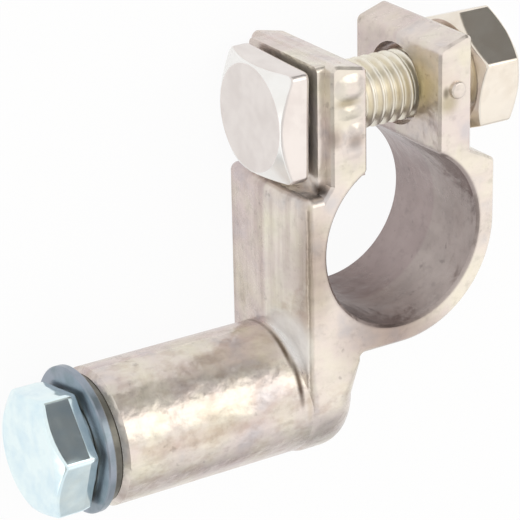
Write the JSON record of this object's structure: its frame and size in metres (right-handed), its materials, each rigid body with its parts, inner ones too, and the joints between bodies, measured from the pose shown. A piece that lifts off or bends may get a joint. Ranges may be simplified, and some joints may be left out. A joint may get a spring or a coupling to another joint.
{
  "type": "battery terminal clamp",
  "caption": "Cast battery terminal clamp with a split post ring, a square-head clamp bolt and nut, and a side barrel with a cable bolt and washers.",
  "frame": {"origin": "centre of the post bore on the underside", "axes": "+Z along the post bore, up from the battery; +X along the clamp bolt from its head to its nut; +Y from the bore to the clamping ears"},
  "size_m": [0.0622, 0.0475, 0.0165],
  "materials": {
    "tinned_casting": "tin-plated, as cast",
    "bright_zinc": "zinc-plated",
    "thread_zinc": "zinc-plated, slightly yellow",
    "blue_zinc": "blue zinc-plated"
  },
  "bodies": {
    "casting": {"clamp_body": "tinned_casting"},
    "clamp_bolt": {"clamp_bolt": "bright_zinc"},
    "clamp_nut": {"clamp_nut": "thread_zinc"},
    "washers": {"flat_washer": "blue_zinc", "spring_washer": "blue_zinc"},
    "cable_bolt": {"cable_bolt": "blue_zinc"}
  },
  "joints": [
    {"name": "clamp_nut_spin", "type": "hinge", "parent": "casting", "child": "clamp_nut", "pos_m": [0.01395, 0.0147, 0.008], "axis": [1, 0, 0], "range_deg": [-170, 2300]},
    {"name": "clamp_bolt_slide", "type": "slide", "parent": "casting", "child": "clamp_bolt", "axis": [-1, 0, 0], "range_m": [-0.0006, 0.008]},
    {"name": "washer_slide", "type": "slide", "parent": "casting", "child": "washers", "axis": [-1, 0, 0], "range_m": [0, 0.014]},
    {"name": "cable_bolt_spin", "type": "hinge", "parent": "washers", "child": "cable_bolt", "pos_m": [-0.0378, -0.01735, 0.008], "axis": [-1, 0, 0], "range_deg": [0, 4030]}
  ],
  "couplings": [
    {"joint": "clamp_bolt_slide", "follows": "clamp_nut_spin", "m_per_rad": 0.00019894},
    {"joint": "washer_slide", "follows": "cable_bolt_spin", "m_per_rad": 0.00019894}
  ]
}
